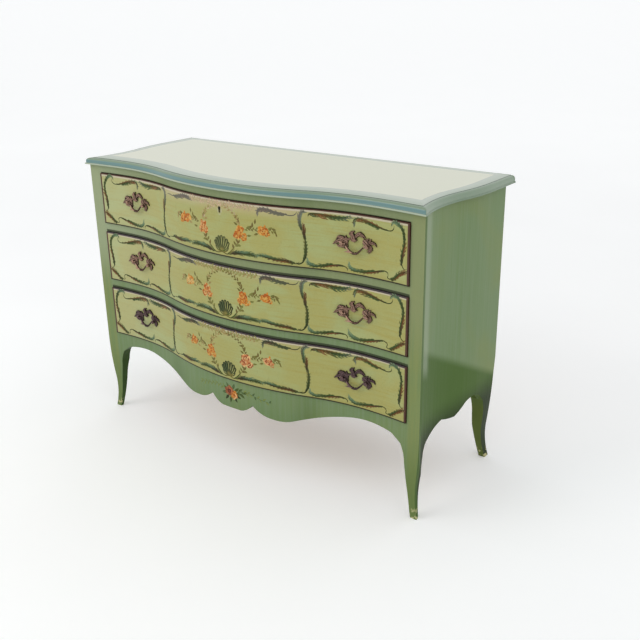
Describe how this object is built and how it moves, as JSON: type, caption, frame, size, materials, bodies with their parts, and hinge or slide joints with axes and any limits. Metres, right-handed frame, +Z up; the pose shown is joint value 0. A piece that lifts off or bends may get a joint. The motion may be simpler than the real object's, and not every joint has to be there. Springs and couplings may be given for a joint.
{
  "type": "dresser",
  "caption": "Low chest of three drawers with a bowed serpentine front, hollowed sides, a moulded top, a scalloped apron, sabre legs and drop-bail pulls.",
  "frame": {"origin": "on the floor, under the middle of the whole piece", "axes": "+X to the right along the width as seen from the front, +Y towards the back, +Z up"},
  "size_m": [1.256, 0.522, 0.866],
  "materials": {
    "painted_case": "satin sage green paint, lightly streaked",
    "painted_top": "gloss lacquered cream field with a grey-green border and moulded edge",
    "painted_drawer": "gloss lacquered olive-yellow ground with painted ornament",
    "drawer_wood": "clear sealed secondary wood",
    "inner_wood": "bare secondary wood",
    "plywood": "bare plywood",
    "pull_metal": "antiqued cast brass with dark recesses",
    "lock_brass": "dull brass",
    "screw_steel": "plain steel"
  },
  "bodies": {
    "case": {"back_bottom_rail": "inner_wood", "back_left_leg": "painted_case", "back_panel": "plywood", "back_right_leg": "painted_case", "back_top_rail": "inner_wood", "bottom_dust_panel": "plywood", "bottom_rail": "inner_wood", "bottom_runners": "inner_wood", "centre_guides": "inner_wood", "front_apron": "painted_case", "front_left_leg": "painted_case", "front_right_leg": "painted_case", "left_kicker": "inner_wood", "left_side_panel": "painted_case", "lower_dust_panel": "plywood", "lower_rail": "painted_case", "lower_rear_rail": "inner_wood", "lower_runners": "inner_wood", "right_kicker": "inner_wood", "right_side_panel": "painted_case", "top_panel": "painted_top", "top_rail": "painted_case", "top_screws": "screw_steel", "upper_dust_panel": "plywood", "upper_rail": "painted_case", "upper_rear_rail": "inner_wood", "upper_runners": "inner_wood"},
    "bottom_drawer": {"bottom_drawer_back": "drawer_wood", "bottom_drawer_bottom": "plywood", "bottom_drawer_front": "painted_drawer", "bottom_drawer_left_side": "drawer_wood", "bottom_drawer_right_side": "drawer_wood", "bottom_left_pull_plate": "pull_metal", "bottom_right_pull_plate": "pull_metal", "bottom_pull_screws": "screw_steel"},
    "middle_drawer": {"middle_drawer_back": "drawer_wood", "middle_drawer_bottom": "plywood", "middle_drawer_front": "painted_drawer", "middle_drawer_left_side": "drawer_wood", "middle_drawer_right_side": "drawer_wood", "middle_left_pull_plate": "pull_metal", "middle_right_pull_plate": "pull_metal", "middle_pull_screws": "screw_steel"},
    "top_drawer": {"top_drawer_back": "drawer_wood", "top_drawer_bottom": "plywood", "top_drawer_front": "painted_drawer", "top_drawer_left_side": "drawer_wood", "top_drawer_right_side": "drawer_wood", "top_left_pull_plate": "pull_metal", "top_right_pull_plate": "pull_metal", "top_pull_screws": "screw_steel", "lock_case": "lock_brass"},
    "bottom_left_bail": {"bottom_left_pull_bail": "pull_metal"},
    "bottom_right_bail": {"bottom_right_pull_bail": "pull_metal"},
    "middle_left_bail": {"middle_left_pull_bail": "pull_metal"},
    "middle_right_bail": {"middle_right_pull_bail": "pull_metal"},
    "top_left_bail": {"top_left_pull_bail": "pull_metal"},
    "top_right_bail": {"top_right_pull_bail": "pull_metal"},
    "lock_bolt": {"lock_bolt": "screw_steel"}
  },
  "joints": [
    {"name": "bottom_drawer_slide", "type": "slide", "parent": "case", "child": "bottom_drawer", "axis": [0, -1, 0], "range_m": [0, 0.32]},
    {"name": "middle_drawer_slide", "type": "slide", "parent": "case", "child": "middle_drawer", "axis": [0, -1, 0], "range_m": [0, 0.32]},
    {"name": "top_drawer_slide", "type": "slide", "parent": "case", "child": "top_drawer", "axis": [0, -1, 0], "range_m": [0, 0.32]},
    {"name": "bottom_left_bail_swing", "type": "hinge", "parent": "bottom_drawer", "child": "bottom_left_bail", "pos_m": [-0.408, -0.19671, 0.36325], "axis": [-0.9978, 0.0669, 0], "range_deg": [0, 90]},
    {"name": "bottom_right_bail_swing", "type": "hinge", "parent": "bottom_drawer", "child": "bottom_right_bail", "pos_m": [0.408, -0.19671, 0.36325], "axis": [-0.9978, -0.0669, 0], "range_deg": [0, 90]},
    {"name": "middle_left_bail_swing", "type": "hinge", "parent": "middle_drawer", "child": "middle_left_bail", "pos_m": [-0.408, -0.19671, 0.55225], "axis": [-0.9978, 0.0669, 0], "range_deg": [0, 90]},
    {"name": "middle_right_bail_swing", "type": "hinge", "parent": "middle_drawer", "child": "middle_right_bail", "pos_m": [0.408, -0.19671, 0.55225], "axis": [-0.9978, -0.0669, 0], "range_deg": [0, 90]},
    {"name": "top_left_bail_swing", "type": "hinge", "parent": "top_drawer", "child": "top_left_bail", "pos_m": [-0.408, -0.19671, 0.74125], "axis": [-0.9978, 0.0669, 0], "range_deg": [0, 90]},
    {"name": "top_right_bail_swing", "type": "hinge", "parent": "top_drawer", "child": "top_right_bail", "pos_m": [0.408, -0.19671, 0.74125], "axis": [-0.9978, -0.0669, 0], "range_deg": [0, 90]},
    {"name": "lock_bolt_throw", "type": "slide", "parent": "top_drawer", "child": "lock_bolt", "axis": [0, 0, 1], "range_m": [0, 0.007]}
  ]
}
